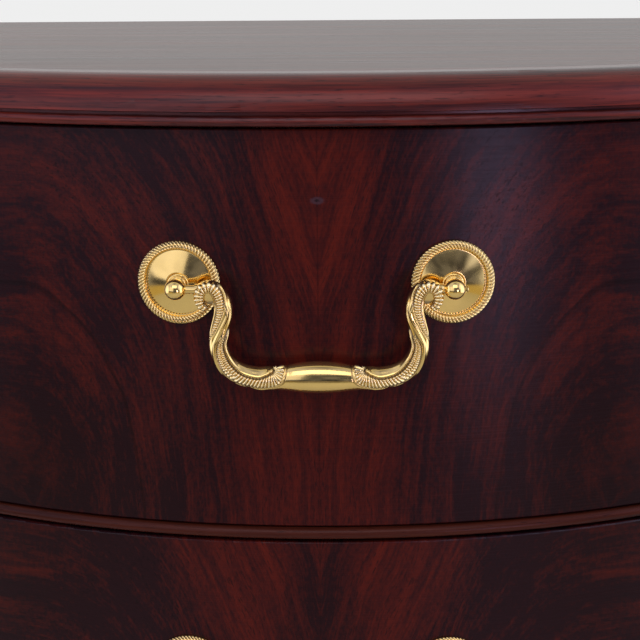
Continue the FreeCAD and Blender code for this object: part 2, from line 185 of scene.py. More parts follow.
class StageSettings(bpy.types.PropertyGroup):
    """Camera, floor and background."""

    lens: bpy.props.FloatProperty(
        name="Lens", description="Focal length on a sensor 36 mm wide", default=80.94, unit="CAMERA")
    distance: bpy.props.FloatProperty(
        name="Distance", description="From the crown of the bow to the camera", default=0.516,
        unit="LENGTH")
    aside: bpy.props.FloatProperty(
        name="Aside", description="Camera's place to the right of the middle", default=0.0163,
        unit="LENGTH")
    above: bpy.props.FloatProperty(
        name="Above", description="Camera's height over the top pull", default=0.1212, unit="LENGTH")
    yaw: bpy.props.FloatProperty(
        name="Yaw", description="Camera's turn to the right", default=math.radians(-1.63),
        subtype="ANGLE")
    pitch: bpy.props.FloatProperty(
        name="Pitch", description="Camera's tilt down", default=math.radians(14.65), subtype="ANGLE")
    roll: bpy.props.FloatProperty(
        name="Roll", description="Camera's roll", default=math.radians(-0.47), subtype="ANGLE")
    floor_radius: bpy.props.FloatProperty(
        name="Floor", description="Radius of the round floor", default=2.4, unit="LENGTH")
    pale: bpy.props.FloatVectorProperty(
        name="Pale", description="Colour of the background", subtype="COLOR", size=4,
        default=(0.86, 0.86, 0.86, 1))
    ambient: bpy.props.FloatProperty(
        name="Ambient", description="Strength of the light from all round", default=0.62)


# Geometry helpers


def bow_radius():
    return bpy.context.scene.chest_veneer.bow_radius


def bow_y(x, radius):
    """Depth at x of a face of this radius about the bow's centre."""
    return CROWN_Y + bow_radius() - math.sqrt(radius ** 2 - x ** 2)


def smooth_step(low, high, values):
    """0 at low and 1 at high, with a smooth step between them."""
    t = np.clip((np.asarray(values, float) - low) / (high - low), 0, 1)
    return t * t * (3 - 2 * t)


def spline_through(rows, steps, fine_steps=60):
    """Even steps along a smooth line through rows, whose first two values are a place. Gives the rows
    at the steps and their distances from the start."""
    rows = np.asarray(rows, float)
    ends = np.vstack([2 * rows[0] - rows[1], rows, 2 * rows[-1] - rows[-2]])
    fine = []
    for a, b, c, d in zip(ends[:-3], ends[1:-2], ends[2:-1], ends[3:]):
        t = np.linspace(0, 1, fine_steps, endpoint=False)[:, None]
        fine.append(0.5 * (2 * b + (c - a) * t + (2 * a - 5 * b + 4 * c - d) * t ** 2
                           + (3 * b - a - 3 * c + d) * t ** 3))
    fine = np.vstack(fine + [rows[-1:]])
    lengths = np.concatenate([[0], np.cumsum(np.hypot(*np.diff(fine[:, :2], axis=0).T))])
    places = np.linspace(0, lengths[-1], steps)
    return np.stack([np.interp(places, lengths, column) for column in fine.T], 1), places


def even_turns(columns):
    """Turns of the columns of a shell round Z."""
    return np.linspace(0, 2 * math.pi, columns, endpoint=False)


def circle(turns, radius, height):
    """Points round Z. The radius and the height may change with the turn."""
    return np.stack([radius * np.cos(turns), radius * np.sin(turns), height + 0 * turns], 1)


def skin(rings, sunken=None, capped=True):
    """Shell through equal rings of points: its points, its faces and how sunken each point is. A point
    in the middle closes each end of a capped shell."""
    n, m = rings.shape[:2]
    verts = rings.reshape(-1, 3)
    depth = np.zeros(n * m) if sunken is None else sunken.ravel()
    i, j = np.meshgrid(np.arange(n - 1), np.arange(m), indexing="ij")
    k = (j + 1) % m
    quads = np.stack([i * m + j, i * m + k, (i + 1) * m + k, (i + 1) * m + j], -1).reshape(-1, 4)
    if not capped:
        return verts, quads.tolist(), depth
    turn = np.arange(m)
    start = np.stack([np.full(m, n * m), (turn + 1) % m, turn], 1)
    stop = np.stack([np.full(m, n * m + 1), (n - 1) * m + turn, (n - 1) * m + (turn + 1) % m], 1)
    verts = np.vstack([verts, rings[0].mean(0), rings[-1].mean(0)])
    return verts, quads.tolist() + start.tolist() + stop.tolist(), np.append(depth, [0, 0])


def lathe(profile, columns):
    """Shell of a profile of (radius, height) turned about Z. Its first and last points are near the
    axis."""
    turns = even_turns(columns)
    return skin(np.stack([circle(turns, radius, height) for radius, height in profile]))


def arc(centre, radius, start, stop, steps):
    """Points of an arc in (radius, height), from start to stop in degrees."""
    turns = np.radians(np.linspace(start, stop, steps))
    return [(centre[0] + radius * math.cos(t), centre[1] + radius * math.sin(t)) for t in turns]


def placed(shell, axes, origin):
    """Shell with its X, Y and Z turned to the axes and moved to the origin."""
    verts, faces, depth = shell
    axes = np.asarray(axes, float)
    turned = faces if np.linalg.det(axes) > 0 else [face[::-1] for face in faces]
    return verts @ axes + np.asarray(origin, float), turned, depth


def mesh_of(name, shells, finish):
    """One mesh of several shells, given in millimetres."""
    verts, faces, depth, count = [], [], [], 0
    for v, f, d in shells:
        verts.append(v)
        depth.append(d)
        faces += [[i + count for i in face] for face in f]
        count += len(v)
    mesh = bpy.data.meshes.new(name)
    mesh.from_pydata((np.vstack(verts) * MM).tolist(), [], faces)
    mesh.polygons.foreach_set("use_smooth", np.ones(len(faces), bool))
    # How sunken each point is: the brass paints shade (with some patina) above zero and a highlight
    # below zero
    sunken = mesh.attributes.new("sunken", "FLOAT", "POINT")
    sunken.data.foreach_set("value", np.concatenate(depth).astype(np.float32))
    mesh.materials.append(finish)
    mesh.update()
    return mesh


# Materials


class Finish:
    """A material or a world under construction: adds nodes and joins them."""

    def __init__(self, name, kind="materials"):
        self.made = getattr(bpy.data, kind).new(name)
        self.made.use_nodes = True
        self.tree = self.made.node_tree
        self.tree.nodes.clear()

    def put(self, socket, value):
        if isinstance(value, bpy.types.NodeSocket):
            self.tree.links.new(value, socket)
        else:
            socket.default_value = value

    def add(self, kind, inputs, **settings):
        node = self.tree.nodes.new("ShaderNode" + kind)
        for key, value in settings.items():
            setattr(node, key, value)
        for key, value in inputs.items():
            self.put(node.inputs[key], value)
        return node

    def math(self, operation, *values, clamp=False):
        inputs = dict(enumerate(values))
        return self.add("Math", inputs, operation=operation, use_clamp=clamp).outputs[0]

    def total(self, first, *others):
        for other in others:
            first = self.math("ADD", first, other)
        return first

    def length(self, one, other):
        """Longest side of a right triangle with these two sides."""
        squares = [self.math("MULTIPLY", side, side) for side in (one, other)]
        return self.math("SQRT", self.math("ADD", *squares))

    def scaled(self, value, factor, offset=0.0):
        return self.math("MULTIPLY_ADD", value, factor, offset)

    def noise(self, *axes, detail=2.0, roughness=0.5):
        """Noise over three axes. Each is a number, or a value, its waves in a unit and a shift."""
        values = [self.scaled(*axis) if isinstance(axis, tuple) else axis for axis in axes]
        point = self.add("CombineXYZ", dict(enumerate(values))).outputs[0]
        inputs = {"Vector": point, "Scale": 1.0, "Detail": detail, "Roughness": roughness}
        return self.add("TexNoise", inputs).outputs[0]

    def spread(self, value, low, high, to_low=0.0, to_high=1.0):
        """Value mapped smoothly from low..high to another range."""
        inputs = {0: value, 1: low, 2: high, 3: to_low, 4: to_high}
        return self.add("MapRange", inputs, interpolation_type="SMOOTHSTEP").outputs[0]

    def blend(self, factor, first, second, mode="MIX"):
        inputs = {0: factor, 6: first, 7: second}
        return self.add("Mix", inputs, data_type="RGBA", blend_type=mode).outputs[2]

    def place(self):
        """X, Y and Z of the object itself, in metres."""
        coordinates = self.add("TexCoord", {}).outputs["Object"]
        return self.add("SeparateXYZ", {0: coordinates}).outputs

    def bump(self, height, distance, strength=1.0):
        inputs = {"Height": height, "Distance": distance, "Strength": strength}
        return self.add("Bump", inputs).outputs[0]

    def finish(self, colour, roughness, normal, metallic=0.0, specular=0.5, coat=0.0,
               coat_roughness=0.1):
        inputs = {"Base Color": colour, "Roughness": roughness, "Normal": normal, "Metallic": metallic,
                  "Specular IOR Level": specular, "Coat Weight": coat, "Coat Roughness": coat_roughness}
        shader = self.add("BsdfPrincipled", inputs)
        self.add("OutputMaterial", {"Surface": shader.outputs[0]})
        return self.made


def darker(colour, share):
    """This share of a colour, opaque."""
    return tuple(c * share for c in colour[:3]) + (1.0,)


def along_bow(f, x, y):
    """Distance along the bow from its middle, and distance out from the bow's centre."""
    radius = bow_radius()
    inward = f.scaled(y, -1.0, CROWN_Y + radius)
    return f.scaled(f.math("ARCTAN2", x, inward), radius), f.length(x, inward)


def crotch_veneer(number, bottom, height):
    """Two mirrored leaves of crotch figure, joined near the middle of the drawer front."""
    settings = bpy.context.scene.chest_veneer
    f = Finish("crotch_veneer_%d" % number)
    x, y, z = f.place()
    run = f.scaled(along_bow(f, x, y)[0], 1.0, -settings.joint_aside)
    rise = f.math("SUBTRACT", z, bottom)
    side = f.math("ABSOLUTE", run)
    seed = number * 3.7
    ground, pore = tuple(settings.ground), tuple(settings.pore)

    # Growth rings round the foot of the arches. They waver alike on both leaves, and each leaf a little
    # by itself, and they are closer together on the joint's side of the foot than beyond it.
    both = f.noise((side, 14.0), (rise, 8.0), seed)
    each = f.noise((run, 26.0), (rise, 12.0), seed + 5, detail=3.0)
    wander = f.total(f.scaled(both, 0.018, -0.009), f.scaled(each, 0.007, -0.0035))
    from_foot = f.math("ADD", f.math("SUBTRACT", side, settings.arch_half), wander)
    beyond = f.math("MAXIMUM", from_foot, 0.0)
    level = f.math("SUBTRACT", from_foot, f.scaled(beyond, 0.65))
    lift = f.scaled(rise, 1 / settings.arch_ratio)
    ring = f.length(level, lift)
    turn = f.math("ARCTAN2", lift, f.scaled(level, -1.0))

    def streak(across, along, shift, detail=2.0):
        """Streaks along the rings: waves in a metre across them and in a radian along them."""
        return f.noise((ring, across), (turn, along), seed + shift, detail=detail, roughness=0.6)

    broad = streak(50.0, 0.8, 0)
    band = streak(125.0, 1.3, 1)
    middle = streak(330.0, 3.0, 2)
    fine = streak(1100.0, 11.0, 3)
    pores = streak(2300.0, 48.0, 4, detail=1.0)
    mottle = f.noise((side, 900.0), (rise, 480.0), seed + 6, roughness=0.6)

    # Red streaks on the ground, warmer near the joint, with painted shade darkening them low down and
    # towards the ends of the bow
    centre = f.spread(side, 0.010, 0.070, 1.0, 0.0)
    red = f.total(f.spread(broad, 0.42, 0.64, -0.04, 0.38), f.spread(band, 0.40, 0.68, -0.08, 0.24),
                  f.spread(middle, 0.42, 0.68, -0.09, 0.20), f.spread(fine, 0.44, 0.68, -0.08, 0.20),
                  f.spread(mottle, 0.32, 0.68, -0.13, 0.13), f.scaled(centre, 0.24))
    colour = f.blend(f.math("ADD", red, 0.0, clamp=True), ground, tuple(settings.streak))
    centre_tone = f.blend(f.scaled(centre, 0.55), (1, 1, 1, 1), (1.0, 0.80, 0.62, 1))
    colour = f.blend(1.0, colour, centre_tone, "MULTIPLY")
    # Painted shade: the front is darkened towards its bottom and its ends, most in the lower corners,
    # where less light falls
    low = f.spread(rise, 0.0, height * 0.6, 1.0, 0.0)
    painted_shade = f.total(f.spread(side, 0.070, 0.130, 0.0, 0.20), f.scaled(low, 0.16),
                    f.math("MULTIPLY", f.spread(side, 0.050, 0.115, 0.0, 0.24), low))
    colour = f.blend(painted_shade, colour, darker(ground, 0.55))

    # Open pores, one dark ring, the joint and the knot
    open_pore = f.math("MULTIPLY", f.spread(pores, 0.57, 0.68), f.spread(band, 0.3, 0.7, 0.25, 0.65))
    colour = f.blend(open_pore, colour, pore)
    off_line = f.math("ABSOLUTE", f.total(ring, f.scaled(middle, 0.002), -0.047))
    colour = f.blend(f.spread(off_line, 0.0002, 0.0010, 0.50, 0.0), colour, pore)
    colour = f.blend(f.spread(side, 0.0001, 0.0004, 0.30, 0.0), colour, pore)
    colour = pin_knot(f, colour, number, run, rise, height)

    rubbed = f.noise((run, 14.0), (rise, 1700.0), seed + 7, roughness=0.6)
    ripple = f.noise((run, 70.0), (rise, 70.0), seed + 8)
    surface = f.total(f.scaled(rubbed, 0.05), f.scaled(ripple, 0.5), f.scaled(open_pore, -0.22))
    normal = f.bump(surface, 0.00004)
    roughness = f.total(f.scaled(rubbed, 0.10), f.scaled(open_pore, 0.12), 0.22)
    return f.finish(colour, roughness, normal, specular=0.11)


def pin_knot(f, colour, number, run, rise, height):
    """Small grey knot near the joint, in another place on each front."""
    half_width, half_height = 0.0026, 0.0014
    grey, heart = (0.050, 0.024, 0.033, 1), (0.010, 0.005, 0.006, 1)
    aside, up = 0.0, height - 0.026
    if number > 1:
        aside = ((number * 0.37 + 0.13) % 1 - 0.5) * 0.04
        up = height * (0.25 + (number * 0.618) % 0.5)
    away = f.length(f.scaled(run, 1 / half_width, -aside / half_width),
                    f.scaled(rise, 1 / half_height, -up / half_height))
    ragged = f.noise((run, 1500.0), (rise, 1500.0), 0.0)
    away = f.math("ADD", away, f.scaled(ragged, 0.7, -0.35))
    colour = f.blend(f.spread(away, 0.7, 1.2, 0.75, 0.0), colour, grey)
    return f.blend(f.spread(away, 0.15, 0.55, 0.8, 0.0), colour, heart)


# The object's axes along the grain and across it, for each straight run of the grain
GRAINS = {"X": (0, 1, 2), "Y": (1, 0, 2), "Z": (2, 0, 1)}

# How far to each side of the case's corner the line of the mitre is measured
MITRE_REACH = 20 * MM


def grain_axes(f, run):
    """Along the grain and two ways across it. The grain runs along X, Y or Z, round the BOW, or round
    the bow and back from its mitred CORNER."""
    place = f.place()
    if run in GRAINS:
        return [place[i] for i in GRAINS[run]]
    x, y, z = place
    along, out = along_bow(f, x, y)
    if run == "BOW":
        return along, out, z
    radius = bow_radius()
    inner = bow_y(CASE_HALF - MITRE_REACH, radius - MITRE_REACH)
    outer = bow_y(CASE_HALF + MITRE_REACH, radius + MITRE_REACH)
    slope = (inner - outer) / (2 * MITRE_REACH)
    side = f.math("ABSOLUTE", x)
    past = f.math("SUBTRACT", f.math("ADD", y, f.scaled(side, slope)),
                  inner + slope * (CASE_HALF - MITRE_REACH))
    turned = f.math("GREATER_THAN", past, 0.0)
    along = f.add("Mix", {0: turned, 2: along, 3: y}).outputs[0]
    out = f.add("Mix", {0: turned, 2: out, 3: f.scaled(side, 1.0, radius - CASE_HALF)}).outputs[0]
    return along, out, z


def grained_wood(name, run, dark, light, polished, band, seed, gloss=0.10):
    """Straight-grained wood with growth bands of this width, and fibres and pores along the grain."""
    f = Finish(name)
    along, across, up = grain_axes(f, run)
    bend = f.noise((along, 5.0), (across, 9.0), (up, 9.0, seed))
    across = f.math("ADD", across, f.scaled(bend, 0.5 * band, -0.25 * band))
    up = f.math("ADD", up, f.scaled(bend, 0.5 * band, seed))

    def streak(width, length, shift, detail=2.0):
        """Noise drawn out along the grain, with waves of this width and length."""
        return f.noise((along, 1 / length), (across, 1 / width, shift), (up, 1 / width), detail=detail,
                       roughness=0.6)

    broad = streak(band, band * 28, 0.0)
    middle = streak(band / 5, band * 9, 7.0, detail=3.0)
    fibre = streak(0.0009, 0.03, 3.0)
    pores = streak(0.0006, 0.006, 5.0, detail=1.0)
    light_share = f.total(f.spread(broad, 0.32, 0.68, 0.0, 0.55),
                          f.spread(middle, 0.32, 0.70, 0.0, 0.35),
                          f.spread(fibre, 0.36, 0.66, -0.14, 0.20), 0.05)
    colour = f.blend(f.math("ADD", light_share, 0.0, clamp=True), dark, light)
    open_pore = f.spread(pores, 0.62, 0.74, 0.0, 0.55)
    colour = f.blend(open_pore, colour, darker(dark, 0.3))
    fibres = f.total(f.scaled(fibre, 0.4), f.scaled(open_pore, -0.8))
    if polished:
        normal = f.bump(fibres, 0.00005)
        roughness = f.scaled(middle, 0.10, 0.26 - 0.25 * gloss)
        return f.finish(colour, roughness, normal, specular=gloss)
    normal = f.bump(fibres, 0.00018)
    return f.finish(colour, f.total(f.scaled(fibre, 0.2), 0.5), normal, specular=0.20)


def brass():
    """Polished, lacquered cast brass. Down between its ribs and in its creases it is darker and duller,
    with painted shade and some patina, and on the rib crests it is paler, a painted highlight. It is
    made once, for all the pulls."""
    name = "pull_brass"
    if name in bpy.data.materials:
        return bpy.data.materials[name]
    settings = bpy.context.scene.chest_brass
    f = Finish(name)
    sunken = f.add("Attribute", {}, attribute_name="sunken").outputs["Fac"]
    x, y, z = f.place()
    cloud = f.noise((x, 160.0), (y, 160.0), (z, 160.0), detail=3.0, roughness=0.6)
    polish = f.noise((x, 900.0), (y, 900.0), (z, 1500.0), roughness=0.6)
    warm = f.spread(cloud, 0.3, 0.7, 0.0, 0.08)
    # Painted shade with some patina: points darken towards the sunken colour by how sunken they are
    colour = f.blend(f.math("ADD", warm, f.scaled(sunken, 0.90), clamp=True), tuple(settings.polished),
                     tuple(settings.sunken))
    # Painted highlight: where sunken is below zero, on the rib crests, the brass is paled
    colour = f.blend(f.math("MULTIPLY", sunken, -1.0, clamp=True), colour, tuple(settings.crest_highlight))
    roughness = f.total(settings.roughness, f.scaled(f.math("MAXIMUM", sunken, 0.0), 0.25),
                        f.scaled(polish, 0.06))
    normal = f.bump(polish, 0.000006)
    return f.finish(colour, roughness, normal, metallic=1.0, coat=0.8, coat_roughness=0.08)


def dress(node, material):
    """Gives a CAD node its finish."""
    mesh = frame["nodes"][node].data
    mesh.materials.clear()
    mesh.materials.append(material)


# Wood


class CHEST_OT_lay_veneer(bpy.types.Operator):
    """Lays book-matched crotch veneer on each drawer front"""

    bl_idname = "chest.lay_veneer"
    bl_label = "Lay Drawer Front Veneer"

    def execute(self, context):
        for number in DRAWERS:
            node = "drawer_%d_front" % number
            low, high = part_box(node)
            dress(node, crotch_veneer(number, low.z, high.z - low.z))
        return {"FINISHED"}


class CHEST_OT_finish_case(bpy.types.Operator):
    """Finishes the mahogany of the case: top, sides, stiles, mouldings, beads and feet"""

    bl_idname = "chest.finish_case"
    bl_label = "Finish Case"

    def execute(self, context):
        woods = context.scene.chest_woods
        dark, light = tuple(woods.mahogany_dark), tuple(woods.mahogany_light)
        runs = {"top_edge": "CORNER", "divider_beads": "BOW", "base_moulding": "CORNER",
                "stile_right": "Z", "stile_left": "Z", "foot_front_right": "CORNER",
                "foot_front_left": "CORNER", "foot_back_right": "Y", "foot_back_left": "Y"}
        own_looks = {"top_edge": (tuple(woods.edge_dark), tuple(woods.edge_light), 0.22),
                     "divider_beads": (dark, tuple(woods.bead_light), 0.10)}
        for place, (node, run) in enumerate(runs.items()):
            late, early, gloss = own_looks.get(node, (dark, light, 0.10))
            dress(node, grained_wood(node, run, late, early, True, band=0.009, seed=place * 2.3,
                                     gloss=gloss))
        runs = {"side_right": "Z", "side_left": "Z", "top_panel": "X"}
        for place, (node, run) in enumerate(runs.items()):
            dress(node, grained_wood(node, run, dark, light, True, band=0.022, seed=place * 4.1 + 30))
        return {"FINISHED"}


class CHEST_OT_finish_inside(bpy.types.Operator):
    """Finishes the bare wood: drawer linings, rails, runners, back and bottom"""

    bl_idname = "chest.finish_inside"
    bl_label = "Finish Inside"

    def execute(self, context):
        woods = context.scene.chest_woods
        dark, light = tuple(woods.lining_dark), tuple(woods.lining_light)
        for number in DRAWERS:
            for part, run in (("sides", "Y"), ("back", "X"), ("bottom", "X")):
                node = "drawer_%d_%s" % (number, part)
                dress(node, grained_wood(node, run, dark, light, False, band=0.02, seed=number * 1.9))
        dark, light = tuple(woods.carcass_dark), tuple(woods.carcass_light)
        runs = {"front_rails": "X", "bottom_rail": "X", "drawer_runners": "Y", "base_panel": "X",
                "back_panel": "Z", "corner_blocks": "Z"}
        for place, (node, run) in enumerate(runs.items()):
            dress(node, grained_wood(node, run, dark, light, False, band=0.026, seed=place * 3.1))
        return {"FINISHED"}


# Brass pulls, drawn in millimetres about the middle of the line between the two balls

SHANK_RADIUS, SHANK_HOLE = 3.65, 3.72
NECK_RADIUS = THREAD_RADIUS = 1.8

# X, Y and Z of a shell drawn flat, once it stands up and faces forward
FORWARD = ((1, 0, 0), (0, 0, 1), (0, -1, 0))


def pull_place(number):
    """Middle of the line between a pull's balls."""
    return PIVOTS["bail_%d" % number]


def add_to_drawers(part, mesh, body, aside=0.0):
    """Puts one part of the pull on each drawer, in the place of the CAD's. body is the name of the body
    that it rides on, with a gap for the drawer's number."""
    for number in DRAWERS:
        piece = bpy.data.objects.new("pull_%d_%s" % (number, part), mesh)
        bpy.context.scene.collection.objects.link(piece)
        piece.location = pull_place(number) + Vector((aside, 0, 0))
        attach(piece, body % number)
        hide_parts("drawer_%d_%s" % (number, part))


def outward(x):
    """Right, up and out from the bowed front at x."""
    lean = math.asin(x / (bow_radius() / MM))
    return (math.cos(lean), math.sin(lean), 0), (0, 0, 1), (math.sin(lean), -math.cos(lean), 0)


def rosette_shell():
    """Round plate with a dished middle and a rim of slanting strands, facing Z."""
    sizes = bpy.context.scene.chest_pull
    radius = sizes.rosette_diameter / MM / 2
    width, high = sizes.rope_width / MM, sizes.rope_height / MM
    edge, rise = sizes.plate_edge / MM, sizes.dish_rise / MM
    depth, strands = sizes.rope_depth / MM, sizes.rope_strands
    rim_in = radius - width
    bevel, step, columns_in_strand = 0.15, 0.12, 9
    turns = even_turns(strands * columns_in_strand)
    rings, sunken = [], []

    def ring(r, h, depth_here=0.0):
        rings.append(circle(turns, r, h))
        sunken.append(depth_here + 0 * turns)

    ring(SHANK_HOLE, 0.0)
    ring(radius - bevel, 0.0)
    ring(radius, bevel)
    ring(radius, edge * 0.8)
    # Over the rim. The strands fade out at its foot and are shallow on its inner side. Painted shade
    # darkens the valleys between them and a painted highlight pales their crests.
    for share in np.linspace(0.04, 1.0, 20):
        angle = share * math.pi
        weight = float(smooth_step(0.02, 0.14, share) * (1 - 0.72 * smooth_step(0.56, 0.74, share)))
        weight *= float(1 - smooth_step(0.86, 0.98, share))
        strand = np.abs(np.sin(strands * turns / 2 + 1.9 * math.pi * share))
        cut = weight * depth * (1 - strand) ** 1.1
        r = rim_in + width / 2 + (width / 2 - cut) * math.cos(angle)
        ring(r, edge + (high - cut) * math.sin(angle),
             weight * (0.9 * (1 - strand) ** 1.2 - 0.35 * strand ** 3))
    # Painted shade in the groove inside the rim
    ring(rim_in - step, edge - 0.1, 0.3)
    for r in np.linspace(rim_in - 0.4, SHANK_HOLE, 14):
        share = (rim_in - r) / (rim_in - SHANK_HOLE)
        swell = math.sin(share * math.pi / 2)
        ring(r, edge - step + (rise + step) * (0.7 * share + 0.3 * swell))
    rings.append(rings[0])
    sunken.append(sunken[0])
    return skin(np.stack(rings), np.stack(sunken), capped=False)


def bent_to_bow(shell):
    """Plate laid on the bow: its back follows the curve of the wood."""
    verts, faces, depth = shell
    bent = verts.copy()
    bent[:, 2] -= verts[:, 0] ** 2 / (2 * bow_radius() / MM)
    return bent, faces, depth


class CHEST_OT_make_rosettes(bpy.types.Operator):
    """Makes the two round backplates of each pull"""

    bl_idname = "chest.make_rosettes"
    bl_label = "Make Rosettes"

    def execute(self, context):
        sizes = context.scene.chest_pull
        half, seat = sizes.centres / MM / 2, sizes.pivot_out / MM
        plate = bent_to_bow(rosette_shell())
        shells = [placed(plate, outward(x), (x, seat, 0)) for x in (-half, half)]
        add_to_drawers("rosettes", mesh_of("rosettes", shells, brass()), "drawer_%d")
        return {"FINISHED"}


def post_shell():
    """Shank, rounded collar in two steps, neck and ball, turned about Z, with Z = 0 on the wood."""
    sizes = bpy.context.scene.chest_pull
    ball, out = sizes.ball_diameter / MM / 2, sizes.pivot_out / MM
    profile = [(0.01, -0.6), (SHANK_RADIUS, -0.6), (SHANK_RADIUS, 3.0), (SHANK_RADIUS + 0.3, 3.04)]
    profile += arc((3.35, 3.55), 0.6, -40, 100, 10)
    profile += [(3.0, 4.12)] + arc((2.45, 4.45), 0.45, -30, 95, 8)
    profile += [(NECK_RADIUS + 0.25, 5.0), (NECK_RADIUS, 5.4), (NECK_RADIUS, 8.2)]
    meet = math.degrees(math.asin(NECK_RADIUS / ball))
    profile += arc((0, out), ball, -90 + meet, 89.9, 26)
    return lathe(profile, 64)


def thread_shell(start, stop, radius, pitch, depth):
    """Threaded rod about Z from start to stop. The thread runs out within one turn of each end."""
    rings_per_turn = 8
    turns = even_turns(24)
    rings = []
    for height in np.linspace(start, stop, int((stop - start) / pitch * rings_per_turn)):
        full = smooth_step(start, start + pitch, height) * (1 - smooth_step(stop - pitch, stop, height))
        wave = np.abs(((height / pitch - turns / (2 * math.pi)) % 1) * 2 - 1)
        rings.append(circle(turns, radius - depth * wave * full - depth * (1 - full) * 0.5, height))
    return skin(np.stack(rings))


def nut_shell(across, height, hole, base):
    """Hexagon nut about Z with its corners turned off at both ends."""
    turns = even_turns(72)
    hexagon = across / 2 / np.cos((turns + math.pi / 6) % (math.pi / 3) - math.pi / 6)
    inscribed = across / 2 * 0.98
    bevel, lip = 0.35, 0.02
    rows = [(hole, 0), (inscribed * 0.9, 0), (inscribed, lip), (hexagon, bevel),
            (hexagon, height - bevel), (inscribed, height - lip), (inscribed * 0.9, height),
            (hole, height), (hole, 0)]
    rings = [circle(turns, np.minimum(hexagon, radius), base + rise) for radius, rise in rows]
    return skin(np.stack(rings), capped=False)


class CHEST_OT_make_posts(bpy.types.Operator):
    """Makes the two ball-ended posts of each pull, their threads and their nuts"""

    bl_idname = "chest.make_posts"
    bl_label = "Make Posts"

    def execute(self, context):
        sizes = context.scene.chest_pull
        half, seat = sizes.centres / MM / 2, sizes.pivot_out / MM
        parts = [post_shell(),
                 thread_shell(start=-23.0, stop=-0.3, radius=THREAD_RADIUS, pitch=0.7, depth=0.3),
                 nut_shell(across=9.0, height=3.2, hole=THREAD_RADIUS, base=-21.4)]
        shells = [placed(part, FORWARD, (x, seat, 0)) for x in (-half, half) for part in parts]
        add_to_drawers("posts", mesh_of("posts", shells, brass()), "drawer_%d")
        return {"FINISHED"}


# Centre line of the left half of the bail, from the end of its scroll to its grip: X, Z, half width,
# half depth, then the edges of the upper band, of the lower band, and the ridge between the smooth
# lobes, each as a share of the half width from -1, the side of the fingers, to 1
BAIL_LINE = (
    (-40.9, -6.9, 0.90, 2.2, -1.3, 0.80, -1.6, -1.6, -1.6),
    (-42.7, -5.5, 1.55, 2.7, -1.3, 0.85, -1.6, -1.6, -1.6),
    (-43.35, -2.8, 1.95, 2.9, -1.3, 0.85, -1.6, -1.6, -1.6),
    (-42.55, 0.05, 2.15, 3.0, -1.3, 0.82, -1.6, -1.6, -1.6),
    (-39.45, 1.1, 2.30, 3.1, -1.15, 0.80, -1.6, -1.6, -1.25),
    (-36.65, -0.8, 2.80, 3.2, -0.60, 0.80, -1.6, -1.6, -0.64),
    (-35.0, -4.6, 3.35, 3.3, -0.22, 0.78, -1.6, -1.6, -0.26),
    (-34.85, -9.0, 3.50, 3.4, 0.07, 0.74, -1.3, -1.3, -0.44),
    (-36.2, -15.0, 3.50, 3.4, 0.42, 0.82, -0.85, -0.85, -0.05),
    (-36.95, -20.2, 3.55, 3.4, 1.02, 1.06, -0.60, 0.03, 0.34),
    (-35.85, -25.1, 3.75, 3.5, 1.3, 1.3, -0.53, 0.32, 0.66),
    (-32.9, -29.3, 3.95, 3.6, 1.3, 1.3, -0.40, 0.66, 0.98),
    (-28.4, -32.1, 4.05, 3.7, 1.3, 1.3, -0.18, 0.88, 1.4),
    (-22.95, -33.4, 4.20, 3.8, 1.3, 1.3, -0.12, 0.93, 1.6),
    (-19.35, -33.6, 4.40, 3.9, 1.3, 1.3, -0.36, 0.92, 1.6),
    (-17.6, -33.6, 4.45, 4.0, 1.3, 1.3, -0.58, 0.92, 1.6),
    (-16.5, -33.6, 4.48, 4.05, 1.3, 1.3, -0.58, 0.92, 1.6),
    (-14.0, -33.6, 4.55, 4.2, 1.3, 1.3, -0.58, 0.92, 1.6),
    (-11.0, -33.5, 5.00, 4.55, 1.3, 1.3, -0.58, 0.92, 1.6),
)

# Middle of the left scroll
HUB_X, HUB_Z = -39.45, -2.9

# Round tip of the smooth lobe, with the lower band's ribs in a fan round it: its X, its place across as
# a share of the half width, its length, and the ribs in a radian of the fan
TIP_X, TIP_SHARE, TIP_LENGTH, TIP_RIBS = -17.6, -0.78, 0.9, 4.0

# End of the leaf: its X at the fingers' side, and how far back it leans and then sweeps to the other
LEAF_X, LEAF_LEAN, LEAF_SWEEP, LEAF_POWER = -11.7, 2.0, 11.3, 6

# Distances along the line, and the distance between two ribs there as a share of that at the leaf
RIB_PITCHES = ((11, 16, 28, 32, 42, 46), (1.1, 0.88, 0.88, 0.65, 0.65, 1.0))

# Distances along the line to the start of the neck and to the level part below it
NECK_START, LEVEL_START = 8, 40

BAIL_RINGS = 480
GRIP_RINGS = 15
FRONT_COLUMNS, BACK_COLUMNS = 72, 24


# Height of each swell or crease of the relief, how far it lies from the line it follows, and its width
RIDGE = ((0.30, 0.0, 0.40), (-0.16, -1.0, 0.50), (-0.12, 0.9, 0.45))
LOBES = ((0.22, -0.75, 0.50), (-0.40, 0.0, 0.20))
FOLD = ((0.30, -0.9, 0.60), (-0.42, 0.0, 0.34))
LEAF_LIP = ((0.14, -0.35, 0.26), (-0.20, 0.15, 0.20))

SEAM_DEPTH, SEAM_WIDTH = 0.25, 0.18
GROOVE_DEPTH, GROOVE_WIDTH = 0.38, 0.20
LEAF_RISE = 0.30


def bump_at(gap, width):
    """1 at the line, falling away smoothly to both sides."""
    return np.exp(-(gap / width) ** 2)


def swells(gap, rows):
    """Sum of the swells and creases at this distance from their line."""
    return sum(height * bump_at(gap - place, width) for height, place, width in rows)


